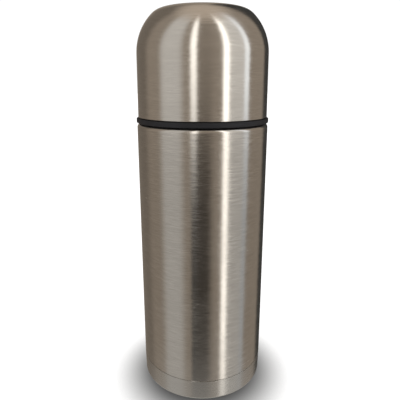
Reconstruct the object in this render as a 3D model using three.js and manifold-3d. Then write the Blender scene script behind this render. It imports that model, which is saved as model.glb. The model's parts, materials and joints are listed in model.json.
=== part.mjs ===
// Vacuum flask with a domed steel cup over a push-button pouring stopper.
// Millimetres, +Z up, origin at the centre of the base. The front is towards -Y.

import * as THREE from 'three';
import { mergeVertices } from 'three/addons/utils/BufferGeometryUtils.js';
import Module from 'manifold-3d';

const wasm = await Module();
wasm.setup();

// ---------------------------------------------------------------- driving dimensions

const BODY_R = 34; // outer radius of the flask
const STEEL = 0.6; // wall of every pressed steel shell
const FIT = 0.3; // gap kept between pieces that touch
const ROUND = 32; // facets round the large pieces
const ROUND_MID = 24; // facets round the stopper's pieces
const ROUND_SMALL = 12; // facets round rods and small rings

const SEAM_Z = 11.4; // joint line between the base cap and the outer shell
const SHOULDER_Z = 144.6; // flat step that the cup's rim stands over
const RING_H = 2.4; // black ring round the cup's mouth
const RING_R = 34.25;
const CUP_R = 33.4; // outer radius of the cup at its mouth
const CUP_TOP_R = 33.2; // and where its straight side ends
const CUP_SIDE_TOP_Z = 178.5;
const DOME_SIDE_ARC = 26.1; // radii of the three arcs that round the dome off
const DOME_CORNER_ARC = 9.33;
const DOME_SIDE_TURN = 45; // degrees that the lower arc turns through
const DOME_CORNER_TURN = 83; // degrees above the horizontal where the crown starts

const PITCH = 4; // rise of the screw threads in one turn
const THREAD_TURNS = 1.25;
const THREAD_DEPTH = 0.8;
const THREAD_HALF = 0.95; // half the height of a ridge at its root
const CUP_THREAD_ROOT = 28.9; // threaded steel band that holds the cup
const CUP_THREAD_Z = 147.6; // where the thread on it starts
const BAND_TOP_Z = 156.5; // and where it narrows to the neck
const LINER_R = 30.8; // inner radius of the cup's threaded mouth
const LINER_THREAD_Z = 148.6;
const LINER_WALL = 1.4;
const LINER_STEP_Z = 152; // the liner's mouth stands clear of the ring's tongue up to here
const NECK_R = 24.6; // outer radius of the flask's neck and of its rolled lip
const MOUTH_R = 22.7; // inner radius of the flask's neck
const MOUTH_Z = 164.5; // top of the pouring lip
const NECK_THREAD_Z = 154;
const SEAL_SEAT_R = 21.5; // narrower stretch below the thread, where the seal sits
const SEAL_SEAT_Z = 146;
const SEAL_SEAT_TOP_Z = 150;
const INNER_R = 30; // outer radius of the inner bottle
const INNER_LOW_Z = 15.4; // inside of its bottom, away from the middle
const INNER_SIDE_TOP_Z = 132; // where its wall starts to narrow to the neck
const FOIL = 0.2; // copper foil round the inner bottle
const FOIL_LOW_Z = 22;
const FOIL_TOP_Z = 130;

const FOOT_IN_R = 28; // inner edge of the ring that the flask stands on
const FOOT_RECESS = 2.4; // how far the middle of the base stands off the ground
const SLEEVE_H = 3.5; // how far the base cap reaches up behind the shell
const CLOSURE_R = 32.1; // disc that closes the vacuum
const CLOSURE_Z = 8;
const CLOSURE_RIM_H = 9;
const DIMPLE_Z = 6.2; // dimple round its evacuation hole
const DIMPLE_HOLE_R = 1.2;
const GETTER_X = 14; // how far from the axis the getter sits
const GETTER_R = 3.4;
const GETTER_H = 2.4;
const CLIP_W = 4; // strip that holds the getter
const CLIP_H = 3.7;

const PLUG_R = 21; // outer radius of the stopper inside the neck
const PLUG_LOW_Z = 149.7;
const PLUG_THREAD_Z = 153;
const HEAD_R = 25; // outer radius of the stopper's grip
const HEAD_Z = 164.9; // underside of the grip
const HEAD_TOP_Z = 180.5;
const FLOOR_Z = 170.3; // top of the floor between the pouring chamber and the button
const CHAMBER_R = 17;
const POUR_HALF = 8; // half the width of the pouring ways in front and at the back
const POUR_LOW_Z = 154.8;
const SLEEVE_R = 5; // guide sleeve of the stem
const SLEEVE_LOW_Z = 160.5;
const HEAD_WALL = 1.8;
const FLUTES = 20; // finger grooves round the grip
const FLUTE_R = 1.4;
const FLUTE_OFFSET = 0.8; // centre of each groove, outside the grip
const KEY_HALF = 5; // half the width of the release key
const KEY_REACH = 2; // how far the key stands out of the grip
const SLIDER_Z = 173; // underside of the release slider
const SLIDER_TOP_Z = 175.2;
const SLIDER_R = 18;
const SLIDER_HOLE_R = 13.4;
const SLIDER_SHIFT = 1.6; // the slider's ring stands off the axis by this much
const KEY_TOP_Z = 177.4;
const BUTTON_R = 11.4;
const BUTTON_SKIRT_Z = 176.6;
const BUTTON_TOP_Z = 184.6;
const BUTTON_PLATE = 2.4;
const BOSS_R = 4.8; // boss under the button that the stem is pressed into
const BOSS_Z = 176;
const STEM_R = 2.5;
const STEM_TOP_Z = 180.5;
const VALVE_SEAT_Z = 144.4; // underside of the seat that the valve closes against
const SEAT_PLATE = 1.7;
const SEAT_HOLE_R = 8.5;
const SEAT_SLEEVE_R = 18.1; // sleeve that holds the seat in the plug
const SEAT_SLEEVE_TOP_Z = 153.6;
const VALVE_R = 11;
const DISC_Z = 139.5; // underside of the valve disc
const DISC_H = 3;
const NUT_R = 4.4; // across the nut's corners, halved
const NUT_H = 2.4;

// ---------------------------------------------------------------- materials

function material(color, roughness, metalness) {
  return new THREE.MeshStandardMaterial({ color, roughness, metalness });
}

const brushedSteel = material(0xb9b5ae, 0.3, 1);
const plainSteel = material(0xa9a9a6, 0.35, 1);
const springSteel = material(0xc4c4c2, 0.25, 1);
const copper = material(0xb8754d, 0.3, 1);
const solderGlass = material(0x4c5a58, 0.2, 0);
const getterMetal = material(0x6e6d6b, 0.6, 1);
const blackPlastic = material(0x17171a, 0.55, 0);
const greyPlastic = material(0x5a5d61, 0.5, 0);
const linerPlastic = material(0x2b2c2e, 0.4, 0);
const silicone = material(0xd9d8d2, 0.6, 0);

// ---------------------------------------------------------------- shape helpers

// Points of an arc in the (radius, height) plane, from one angle to another in degrees.
function arc(centreR, centreZ, radius, from, to, steps) {
  const points = [];
  for (let i = 0; i <= steps; i++) {
    const angle = THREE.MathUtils.degToRad(from + ((to - from) * i) / steps);
    points.push([centreR + radius * Math.cos(angle), centreZ + radius * Math.sin(angle)]);
  }
  return points;
}

// Leaves only positions, joins shared corners and drops the slivers that collapse on the axis.
function welded(geometry) {
  geometry.deleteAttribute('normal');
  geometry.deleteAttribute('uv');
  const joined = mergeVertices(geometry, 1e-4);
  const index = joined.index.array;
  const kept = [];
  for (let i = 0; i < index.length; i += 3) {
    const [a, b, c] = [index[i], index[i + 1], index[i + 2]];
    if (a !== b && b !== c && c !== a) kept.push(a, b, c);
  }
  joined.setIndex(kept);
  return joined;
}

// A solid of revolution about Z. The profile runs counter-clockwise round the material in the
// (radius, height) plane, and is closed unless it starts and ends on the axis.
function turned(profile, facets = ROUND) {
  const points = profile.map(([r, z]) => new THREE.Vector2(r, z));
  const onAxis = profile[0][0] === 0 && profile[profile.length - 1][0] === 0;
  if (!onAxis) points.push(points[0].clone());
  const geometry = new THREE.LatheGeometry(points, facets);
  geometry.rotateX(Math.PI / 2);
  return welded(geometry);
}

function signedVolume(position, index) {
  const [a, b, c] = [new THREE.Vector3(), new THREE.Vector3(), new THREE.Vector3()];
  let sum = 0;
  for (let i = 0; i < index.length; i += 3) {
    a.fromBufferAttribute(position, index[i]);
    b.fromBufferAttribute(position, index[i + 1]);
    c.fromBufferAttribute(position, index[i + 2]);
    sum += a.dot(b.cross(c)) / 6;
  }
  return sum;
}

// The geometry as a solid that can be joined and cut, its faces turned outwards first.
function solid(geometry) {
  const shape = geometry.index && !geometry.attributes.normal ? geometry : welded(geometry.clone());
  const index = Uint32Array.from(shape.index.array);
  if (signedVolume(shape.attributes.position, index) < 0) index.reverse();
  const vertProperties = Float32Array.from(shape.attributes.position.array);
  return new wasm.Manifold(new wasm.Mesh({ numProp: 3, vertProperties, triVerts: index }));
}

function shapeOf(manifold) {
  const mesh = manifold.getMesh();
  const geometry = new THREE.BufferGeometry();
  geometry.setAttribute('position', new THREE.BufferAttribute(mesh.vertProperties, 3));
  geometry.setIndex(new THREE.BufferAttribute(mesh.triVerts, 1));
  return geometry;
}

function joined(base, additions) {
  return shapeOf(additions.reduce((whole, piece) => whole.add(solid(piece)), solid(base)));
}

function cut(base, tools) {
  return shapeOf(tools.reduce((whole, tool) => whole.subtract(solid(tool)), solid(base)));
}

// A box given by its low and high corners.
function block(low, high) {
  const size = high.map((value, i) => value - low[i]);
  const geometry = new THREE.BoxGeometry(...size);
  geometry.translate(...high.map((value, i) => (value + low[i]) / 2));
  return geometry;
}

class Helix extends THREE.Curve {
  constructor(radius, pitch, turns, startZ) {
    super();
    Object.assign(this, { radius, pitch, turns, startZ });
  }

  getPoint(t, target = new THREE.Vector3()) {
    const angle = 2 * Math.PI * this.turns * t;
    const z = this.startZ + this.pitch * this.turns * t;
    return target.set(this.radius * Math.cos(angle), this.radius * Math.sin(angle), z);
  }
}

// A screw-thread ridge on a wall of the given radius. outward is 1 on the outside of the wall
// and -1 on its inside. Its root is sunk a little into the wall.
function threadRidge(radius, outward, startZ, facets) {
  const depth = -outward * THREAD_DEPTH;
  const sunk = outward * FIT;
  const outline = [
    [sunk, -THREAD_HALF],
    [depth * 0.8, -THREAD_HALF * 0.6],
    [depth, 0],
    [depth * 0.8, THREAD_HALF * 0.6],
    [sunk, THREAD_HALF],
  ];
  const section = new THREE.Shape(outline.map(([x, y]) => new THREE.Vector2(x, y)));
  return new THREE.ExtrudeGeometry(section, {
    steps: Math.round(facets * THREAD_TURNS),
    extrudePath: new Helix(radius, PITCH, THREAD_TURNS, startZ),
  });
}

// A coil spring standing on Z, of round wire.
function coil({ radius, wire, turns, length, startZ, stepsPerTurn, sides }) {
  const outline = [];
  for (let i = 0; i < sides; i++) {
    const angle = (2 * Math.PI * i) / sides;
    outline.push(new THREE.Vector2(wire * Math.cos(angle), wire * Math.sin(angle)));
  }
  return new THREE.ExtrudeGeometry(new THREE.Shape(outline), {
    steps: turns * stepsPerTurn,
    extrudePath: new Helix(radius, length / turns, turns, startZ),
  });
}

// ---------------------------------------------------------------- flask body

function outerShell() {
  const inside = BODY_R - STEEL;
  const neckTop = MOUTH_Z - 1 - FIT;
  const profile = [
    [BODY_R, SEAM_Z + FIT / 2],
    ...arc(BODY_R - 1, SHOULDER_Z - 1, 1, 0, 90, 3),
    [CUP_THREAD_ROOT + 0.4, SHOULDER_Z],
    [CUP_THREAD_ROOT, SHOULDER_Z + 0.4],
    [CUP_THREAD_ROOT, BAND_TOP_Z],
    [NECK_R, BAND_TOP_Z + 3.7],
    [NECK_R, neckTop],
    [NECK_R - STEEL, neckTop],
    [NECK_R - STEEL, BAND_TOP_Z + 3.4],
    [CUP_THREAD_ROOT - STEEL, BAND_TOP_Z - 0.3],
    [CUP_THREAD_ROOT - STEEL, SHOULDER_Z - STEEL],
    [inside - 0.6, SHOULDER_Z - STEEL],
    [inside, SHOULDER_Z - STEEL - 0.6],
    [inside, SEAM_Z + FIT / 2],
  ];
  return joined(turned(profile), [threadRidge(CUP_THREAD_ROOT, 1, CUP_THREAD_Z, ROUND)]);
}

function innerBottle() {
  const wall = INNER_R - STEEL;
  const profile = [
    [0, INNER_LOW_Z + 0.8 - STEEL],
    [20, INNER_LOW_Z - STEEL],
    [26, INNER_LOW_Z],
    ...arc(INNER_R - 4, INNER_LOW_Z + 4, 4, -60, 0, 3),
    [INNER_R, INNER_SIDE_TOP_Z],
    [28.6, INNER_SIDE_TOP_Z + 6],
    [24.4, INNER_SIDE_TOP_Z + 11.6],
    [SEAL_SEAT_R + STEEL, SEAL_SEAT_Z + 0.4],
    [SEAL_SEAT_R + STEEL, SEAL_SEAT_TOP_Z - 0.2],
    [MOUTH_R + STEEL, SEAL_SEAT_TOP_Z + 1],
    [MOUTH_R + STEEL, MOUTH_Z - 1],
    [NECK_R, MOUTH_Z - 1],
    [NECK_R, MOUTH_Z - 0.4],
    [NECK_R - 0.4, MOUTH_Z],
    [MOUTH_R + 0.3, MOUTH_Z],
    [MOUTH_R, MOUTH_Z - 0.3],
    [MOUTH_R, SEAL_SEAT_TOP_Z + 1.2],
    [SEAL_SEAT_R, SEAL_SEAT_TOP_Z],
    [SEAL_SEAT_R, SEAL_SEAT_Z],
    [23.9, INNER_SIDE_TOP_Z + 11.2],
    [28, INNER_SIDE_TOP_Z + 5.8],
    [wall, INNER_SIDE_TOP_Z - 0.2],
    [wall, INNER_LOW_Z + 4.2],
    [27.6, INNER_LOW_Z + 1.4],
    [20, INNER_LOW_Z],
    [0, INNER_LOW_Z + 0.8],
  ];
  return joined(turned(profile), [threadRidge(MOUTH_R, -1, NECK_THREAD_Z, ROUND)]);
}

function copperFoil() {
  const inside = INNER_R + 0.4;
  const outside = inside + FOIL;
  return turned([
    [inside, FOIL_LOW_Z],
    [outside, FOIL_LOW_Z],
    [outside, FOIL_TOP_Z],
    [inside, FOIL_TOP_Z],
  ]);
}

// Pressed steel bottom. Its sleeve reaches up behind the shell's lower edge.
function baseCap() {
  const top = SEAM_Z - FIT / 2;
  const sleeve = BODY_R - STEEL - FIT;
  const profile = [
    [0, FOOT_RECESS],
    [FOOT_IN_R - 1.5, FOOT_RECESS],
    [FOOT_IN_R, 0],
    ...arc(BODY_R - 1, 1, 1, -90, 0, 3),
    [BODY_R, top],
    [sleeve, top],
    [sleeve, top + SLEEVE_H],
    [sleeve - STEEL, top + SLEEVE_H],
    [sleeve - STEEL, top - 2],
    [BODY_R - STEEL, top - 2.8],
    [BODY_R - STEEL, 1.6],
    [BODY_R - 1.4, STEEL],
    [FOOT_IN_R + 0.3, STEEL],
    [FOOT_IN_R - 1.1, FOOT_RECESS + STEEL],
    [0, FOOT_RECESS + STEEL],
  ];
  return turned(profile);
}

// Disc that closes the vacuum below the inner bottle, with the evacuation hole in its dimple.
function vacuumBase() {
  return turned([
    [DIMPLE_HOLE_R, DIMPLE_Z],
    [4.5, DIMPLE_Z],
    [5.5, CLOSURE_Z],
    [CLOSURE_R - 0.9, CLOSURE_Z],
    [CLOSURE_R, CLOSURE_Z + 1],
    [CLOSURE_R, CLOSURE_Z + CLOSURE_RIM_H],
    [CLOSURE_R - STEEL, CLOSURE_Z + CLOSURE_RIM_H],
    [CLOSURE_R - STEEL, CLOSURE_Z + 1.3],
    [CLOSURE_R - STEEL - 0.6, CLOSURE_Z + STEEL],
    [5.2, CLOSURE_Z + STEEL],
    [4.2, DIMPLE_Z + STEEL],
    [DIMPLE_HOLE_R, DIMPLE_Z + STEEL],
  ]);
}

// Bead of solder glass that closes the evacuation hole from below.
function sealPlug() {
  const bead = DIMPLE_Z - FIT;
  const pin = DIMPLE_HOLE_R - 0.4;
  return turned([
    [0, bead - 1.5],
    [2.4, bead - 1.2],
    [3.4, bead],
    [pin, bead],
    [pin, bead + 1.3],
    [0, bead + 1.3],
  ], ROUND_SMALL);
}

function getter() {
  const low = CLOSURE_Z + STEEL + 2 * FIT + 0.5;
  const geometry = new THREE.CylinderGeometry(GETTER_R, GETTER_R, GETTER_H, ROUND_SMALL);
  geometry.rotateX(Math.PI / 2);
  geometry.translate(GETTER_X, 0, low + GETTER_H / 2);
  return welded(geometry);
}

// Bent strip that holds the getter on the closure disc.
function getterClip() {
  const half = GETTER_R + FIT;
  const sheet = 0.5;
  const low = CLOSURE_Z + STEEL + FIT;
  const high = low + CLIP_H;
  const outline = [
    [-half - sheet, low],
    [half + sheet, low],
    [half + sheet, high],
    [half, high],
    [half, low + sheet],
    [-half, low + sheet],
    [-half, high],
    [-half - sheet, high],
  ];
  const shape = new THREE.Shape(outline.map(([x, y]) => new THREE.Vector2(x, y)));
  const geometry = new THREE.ExtrudeGeometry(shape, { depth: CLIP_W, bevelEnabled: false });
  geometry.rotateX(Math.PI / 2);
  geometry.translate(GETTER_X, CLIP_W / 2, 0);
  return shapeOf(solid(geometry));
}

// ---------------------------------------------------------------- cup

// Half outline of the dome, set in from its outer surface, from the straight side up to the axis.
function domeOutline(inset, steps) {
  const centreR = CUP_TOP_R - DOME_SIDE_ARC;
  const turn = THREE.MathUtils.degToRad(DOME_SIDE_TURN);
  const reach = DOME_SIDE_ARC - DOME_CORNER_ARC;
  const cornerR = centreR + reach * Math.cos(turn);
  const cornerZ = CUP_SIDE_TOP_Z + reach * Math.sin(turn);
  const crown = THREE.MathUtils.degToRad(DOME_CORNER_TURN);
  const toAxis = cornerR / Math.cos(crown);
  const crownZ = cornerZ - toAxis * Math.sin(crown);
  const crownArc = toAxis + DOME_CORNER_ARC - inset;
  const top = arc(0, crownZ, crownArc, DOME_CORNER_TURN, 90, 2);
  top[top.length - 1][0] = 0;
  return [
    ...arc(centreR, CUP_SIDE_TOP_Z, DOME_SIDE_ARC - inset, 0, DOME_SIDE_TURN, steps),
    ...arc(cornerR, cornerZ, DOME_CORNER_ARC - inset, DOME_SIDE_TURN, DOME_CORNER_TURN, steps).slice(1),
    ...top.slice(1),
  ];
}

const RING_Z = SHOULDER_Z + FIT; // underside of the ring round the cup's mouth
const RING_TOP_Z = RING_Z + RING_H;
const CUP_EDGE_Z = RING_TOP_Z + FIT; // lower edge of the steel dome

function cupShell() {
  return turned([
    ...domeOutline(STEEL, 3).reverse(),
    [CUP_R - STEEL, CUP_EDGE_Z],
    [CUP_R, CUP_EDGE_Z],
    ...domeOutline(0, 3),
  ]);
}

// Black ring. Its tongue stands between the steel dome and the liner.
function cupRimRing() {
  const tongueOut = CUP_R - STEEL - FIT;
  const tongueIn = tongueOut - 0.6;
  return turned([
    [tongueIn, RING_Z],
    [RING_R - 0.5, RING_Z],
    [RING_R, RING_Z + 0.5],
    [RING_R, RING_TOP_Z - 0.4],
    [RING_R - 0.4, RING_TOP_Z],
    [tongueOut, RING_TOP_Z],
    [tongueOut, RING_TOP_Z + 3.8],
    [tongueIn, RING_TOP_Z + 3.8],
  ]);
}

function cupLiner() {
  const outset = STEEL + FIT;
  const mouthOut = CUP_R - outset - 0.6 - FIT;
  const low = RING_Z + FIT;
  const profile = [
    ...domeOutline(outset + LINER_WALL, 3).reverse(),
    [LINER_R + 0.4, LINER_STEP_Z + 1.2],
    [LINER_R, LINER_STEP_Z + 0.8],
    [LINER_R, low],
    [mouthOut, low],
    [mouthOut, LINER_STEP_Z],
    [CUP_R - outset, LINER_STEP_Z + 0.8],
    ...domeOutline(outset, 3),
  ];
  return joined(turned(profile), [threadRidge(LINER_R, -1, LINER_THREAD_Z, ROUND)]);
}

// ---------------------------------------------------------------- stopper

// Threaded plug, pouring chamber and grip in one moulding.
function stopperBody() {
  const bore = STEM_R + 0.5;
  const socket = SEAT_SLEEVE_R + FIT;
  const profile = [
    [socket, PLUG_LOW_Z],
    [PLUG_R - 0.5, PLUG_LOW_Z],
    [PLUG_R, PLUG_LOW_Z + 0.5],
    [PLUG_R, HEAD_Z],
    [HEAD_R - 0.6, HEAD_Z],
    [HEAD_R, HEAD_Z + 0.6],
    [HEAD_R, HEAD_TOP_Z],
    [HEAD_R - HEAD_WALL, HEAD_TOP_Z],
    [HEAD_R - HEAD_WALL, FLOOR_Z],
    [SLEEVE_R, FLOOR_Z],
    [SLEEVE_R, FLOOR_Z + 1],
    [bore, FLOOR_Z + 1],
    [bore, SLEEVE_LOW_Z],
    [SLEEVE_R, SLEEVE_LOW_Z],
    [SLEEVE_R, FLOOR_Z - 2],
    [CHAMBER_R, FLOOR_Z - 2],
    [CHAMBER_R, SEAT_SLEEVE_TOP_Z + FIT],
    [socket, SEAT_SLEEVE_TOP_Z + FIT],
  ];
  const rails = [-1, 1].map((side) => block(
    [-8, side * 15.5 - 1, FLOOR_Z - 0.5],
    [8, side * 15.5 + 1, SLIDER_Z - FIT],
  ));
  const pourWays = [-1, 1].map((side) => block(
    [-POUR_HALF, side * (CHAMBER_R + 5) - 6, POUR_LOW_Z],
    [POUR_HALF, side * (CHAMBER_R + 5) + 6, FLOOR_Z - 3],
  ));
  const keyWindow = block(
    [HEAD_R - 4, -KEY_HALF - 0.4, SLIDER_Z - 0.4],
    [HEAD_R + KEY_REACH, KEY_HALF + 0.4, KEY_TOP_Z + 0.4],
  );
  const flutes = [];
  const fluteAt = HEAD_R + FLUTE_OFFSET;
  for (let i = 0; i < FLUTES; i++) {
    const angle = (2 * Math.PI * (i + 0.5)) / FLUTES;
    const flute = new THREE.CylinderGeometry(FLUTE_R, FLUTE_R, 10, 8);
    flute.rotateX(Math.PI / 2);
    flute.translate(fluteAt * Math.cos(angle), fluteAt * Math.sin(angle), HEAD_TOP_Z - 6.5);
    const nearKey = Math.cos(angle) > 0 && Math.abs(Math.sin(angle)) < 0.35;
    if (!nearKey) flutes.push(flute);
  }
  const ridged = joined(turned(profile, ROUND_MID), [
    threadRidge(PLUG_R, 1, PLUG_THREAD_Z, ROUND_MID),
    ...rails,
  ]);
  return cut(ridged, [...pourWays, keyWindow, ...flutes]);
}

// Annular top of the stopper. One sleeve guides the button and one plugs into the grip.
function stopperCover() {
  const low = HEAD_TOP_Z + FIT;
  const guideR = BUTTON_R + 0.4;
  const plugR = HEAD_R - HEAD_WALL - FIT;
  return turned([
    [guideR, SLIDER_TOP_Z + 0.4],
    [guideR + 1.2, SLIDER_TOP_Z + 0.4],
    [guideR + 1.2, low],
    [plugR - 1.2, low],
    [plugR - 1.2, KEY_TOP_Z + 0.5],
    [plugR, KEY_TOP_Z + 0.5],
    [plugR, low],
    [HEAD_R, low],
    [HEAD_R, low + 0.8],
    [HEAD_R - 1, low + 1.8],
    [guideR, low + 1.8],
  ], ROUND_MID);
}

// Screwed-in bottom of the stopper: a flange below the seal and the pouring hole.
function valveSeat() {
  const top = VALVE_SEAT_Z + SEAT_PLATE;
  return turned([
    [SEAT_HOLE_R, VALVE_SEAT_Z],
    [PLUG_R - 0.2, VALVE_SEAT_Z],
    [PLUG_R - 0.2, top],
    [SEAT_SLEEVE_R, top],
    [SEAT_SLEEVE_R, SEAT_SLEEVE_TOP_Z],
    [SEAT_SLEEVE_R - 1.2, SEAT_SLEEVE_TOP_Z],
    [SEAT_SLEEVE_R - 1.2, top],
    [SEAT_HOLE_R, top],
  ], ROUND_MID);
}

// Silicone ring with two lips, held between the seat's flange and the plug.
function stopperSeal() {
  const low = VALVE_SEAT_Z + SEAT_PLATE + FIT;
  const high = PLUG_LOW_Z - FIT;
  const bore = SEAT_SLEEVE_R + FIT;
  const lip = SEAL_SEAT_R - FIT;
  return turned([
    [bore, low],
    [lip - 0.8, low],
    [lip, low + 0.8],
    [lip - 0.6, (low + high) / 2],
    [lip, high - 0.8],
    [lip - 0.8, high],
    [bore, high],
  ], ROUND_MID);
}

function stemSeal() {
  const high = SLEEVE_LOW_Z - FIT;
  return turned([
    [STEM_R + FIT, high - 1.3],
    [SLEEVE_R - 0.2, high - 1.3],
    [SLEEVE_R - 0.2, high],
    [STEM_R + FIT, high],
  ], ROUND_SMALL);
}

function pushButton() {
  const socket = STEM_R + FIT;
  const plate = BUTTON_TOP_Z - BUTTON_PLATE;
  return turned([
    [0, STEM_TOP_Z + FIT],
    [socket, STEM_TOP_Z + FIT],
    [socket, BOSS_Z],
    [BOSS_R, BOSS_Z],
    [BOSS_R, plate],
    [BUTTON_R - 1, plate],
    [BUTTON_R - 1, BUTTON_SKIRT_Z],
    [BUTTON_R, BUTTON_SKIRT_Z],
    [BUTTON_R, BUTTON_TOP_Z - 1],
    [BUTTON_R - 1, BUTTON_TOP_Z],
    [6, BUTTON_TOP_Z - 0.4],
    [0, BUTTON_TOP_Z - 0.7],
  ], ROUND_MID);
}

// Stem with the flange that the disc's seal is clamped under.
function valveStem() {
  return turned([
    [0, DISC_Z - NUT_H - 1],
    [STEM_R, DISC_Z - NUT_H - 1],
    [STEM_R, VALVE_SEAT_Z],
    [STEM_R + 1.5, VALVE_SEAT_Z],
    [STEM_R + 1.5, VALVE_SEAT_Z + 1.6],
    [STEM_R, VALVE_SEAT_Z + 1.6],
    [STEM_R, STEM_TOP_Z],
    [0, STEM_TOP_Z],
  ], ROUND_SMALL);
}

function valveDisc() {
  const bore = STEM_R + FIT;
  return turned([
    [bore, DISC_Z],
    [VALVE_R - 2, DISC_Z],
    [VALVE_R, DISC_Z + 1.4],
    [VALVE_R, DISC_Z + DISC_H],
    [bore, DISC_Z + DISC_H],
  ], ROUND_MID);
}

function valveSeal() {
  const low = DISC_Z + DISC_H + FIT;
  const bore = STEM_R + FIT;
  return turned([
    [bore, low],
    [VALVE_R - 0.4, low],
    [VALVE_R - 0.4, VALVE_SEAT_Z - FIT - 0.5],
    [VALVE_R - 0.9, VALVE_SEAT_Z - FIT],
    [bore, VALVE_SEAT_Z - FIT],
  ], ROUND_MID);
}

function stemNut() {
  const nut = new THREE.CylinderGeometry(NUT_R, NUT_R, NUT_H, 6);
  const hole = new THREE.CylinderGeometry(STEM_R + FIT, STEM_R + FIT, NUT_H + 1, ROUND_SMALL);
  for (const geometry of [nut, hole]) {
    geometry.rotateX(Math.PI / 2);
    geometry.translate(0, 0, DISC_Z - FIT - NUT_H / 2);
  }
  return cut(nut, [hole]);
}

function returnSpring() {
  const wire = 0.55;
  const low = FLOOR_Z + FIT + wire;
  const high = BUTTON_TOP_Z - BUTTON_PLATE - FIT - wire;
  const geometry = coil({
    radius: 6.7, wire, turns: 5, length: high - low, startZ: low, stepsPerTurn: 10, sides: 4,
  });
  return shapeOf(solid(geometry));
}

// Slider ring round the button, with the key that reaches out through the grip.
function releaseTab() {
  const ring = new THREE.Shape();
  ring.absarc(SLIDER_SHIFT, 0, SLIDER_R, 0, 2 * Math.PI);
  const hole = new THREE.Path();
  hole.absarc(SLIDER_SHIFT, 0, SLIDER_HOLE_R, 0, 2 * Math.PI, true);
  ring.holes.push(hole);
  const slider = new THREE.ExtrudeGeometry(ring, {
    depth: SLIDER_TOP_Z - SLIDER_Z, bevelEnabled: false, curveSegments: 14,
  });
  slider.translate(0, 0, SLIDER_Z);
  const key = block(
    [SLIDER_R - 0.5, -KEY_HALF, SLIDER_Z],
    [HEAD_R + KEY_REACH, KEY_HALF, KEY_TOP_Z],
  );
  return joined(slider, [key]);
}

function releaseSpring() {
  const wire = 0.3;
  const from = -(HEAD_R - HEAD_WALL) + FIT + wire;
  const to = SLIDER_SHIFT - SLIDER_R - FIT - wire;
  const geometry = coil({
    radius: 1.5, wire, turns: 3, length: to - from, startZ: from, stepsPerTurn: 8, sides: 4,
  });
  geometry.rotateY(Math.PI / 2);
  geometry.translate(0, 0, (SLIDER_Z + SLIDER_TOP_Z) / 2);
  return shapeOf(solid(geometry));
}

// ---------------------------------------------------------------- assembly

function part(name, geometry, look) {
  const mesh = new THREE.Mesh(geometry, look);
  mesh.name = name;
  return mesh;
}

const flask = new THREE.Group();
flask.add(
  part('outer_shell', outerShell(), brushedSteel),
  part('inner_bottle', innerBottle(), plainSteel),
  part('copper_foil', copperFoil(), copper),
  part('base_cap', baseCap(), brushedSteel),
  part('vacuum_base', vacuumBase(), plainSteel),
  part('seal_plug', sealPlug(), solderGlass),
  part('getter', getter(), getterMetal),
  part('getter_clip', getterClip(), springSteel),
);

const cup = new THREE.Group();
cup.add(
  part('cup_shell', cupShell(), brushedSteel),
  part('cup_rim_ring', cupRimRing(), blackPlastic),
  part('cup_liner', cupLiner(), linerPlastic),
);

const stopper = new THREE.Group();
stopper.add(
  part('stopper_body', stopperBody(), blackPlastic),
  part('stopper_cover', stopperCover(), greyPlastic),
  part('valve_seat', valveSeat(), blackPlastic),
  part('stopper_seal', stopperSeal(), silicone),
  part('stem_seal', stemSeal(), silicone),
  part('push_button', pushButton(), greyPlastic),
  part('valve_stem', valveStem(), plainSteel),
  part('valve_disc', valveDisc(), blackPlastic),
  part('valve_seal', valveSeal(), silicone),
  part('stem_nut', stemNut(), plainSteel),
  part('return_spring', returnSpring(), springSteel),
  part('release_tab', releaseTab(), greyPlastic),
  part('release_spring', releaseSpring(), springSteel),
);

const vacuumFlask = new THREE.Group();
vacuumFlask.add(flask, cup, stopper);

export default vacuumFlask;
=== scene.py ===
import json
import math

import bmesh
import bpy
from mathutils import Matrix, Vector


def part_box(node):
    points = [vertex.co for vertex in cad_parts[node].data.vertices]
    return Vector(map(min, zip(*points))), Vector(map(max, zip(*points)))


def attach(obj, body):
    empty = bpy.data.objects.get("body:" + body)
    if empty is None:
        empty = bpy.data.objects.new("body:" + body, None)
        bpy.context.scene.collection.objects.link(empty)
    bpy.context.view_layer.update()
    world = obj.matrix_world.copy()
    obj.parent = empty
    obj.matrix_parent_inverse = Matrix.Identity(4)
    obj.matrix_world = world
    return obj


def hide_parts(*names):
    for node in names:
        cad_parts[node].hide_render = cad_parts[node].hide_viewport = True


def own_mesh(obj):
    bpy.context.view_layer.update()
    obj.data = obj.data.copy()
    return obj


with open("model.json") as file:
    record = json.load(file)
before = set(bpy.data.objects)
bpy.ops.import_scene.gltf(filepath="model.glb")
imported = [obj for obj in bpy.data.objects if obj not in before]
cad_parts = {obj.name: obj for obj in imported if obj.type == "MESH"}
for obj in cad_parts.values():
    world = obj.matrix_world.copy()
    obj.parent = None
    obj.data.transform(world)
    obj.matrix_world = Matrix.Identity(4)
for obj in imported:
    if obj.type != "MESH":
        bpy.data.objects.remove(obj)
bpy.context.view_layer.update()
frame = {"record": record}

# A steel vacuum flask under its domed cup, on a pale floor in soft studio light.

MM = 0.001
ROUND = 192  # steps round the large turned pieces
ROUND_MID = 128
ROUND_SMALL = 64
FINE_ANGLE = math.radians(32)  # an edge sharper than this stays sharp
ARC_STEP = math.radians(11)  # a fillet gets a point for each of these
PITCH = 4.0  # rise of the screw threads in a turn, in mm like every size below
THREAD_TURNS = 1.25
THREAD_DEPTH = 0.8
THREAD_HALF = 0.95


def low(node):
    return [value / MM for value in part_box(node)[0]]


def high(node):
    return [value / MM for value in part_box(node)[1]]


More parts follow.
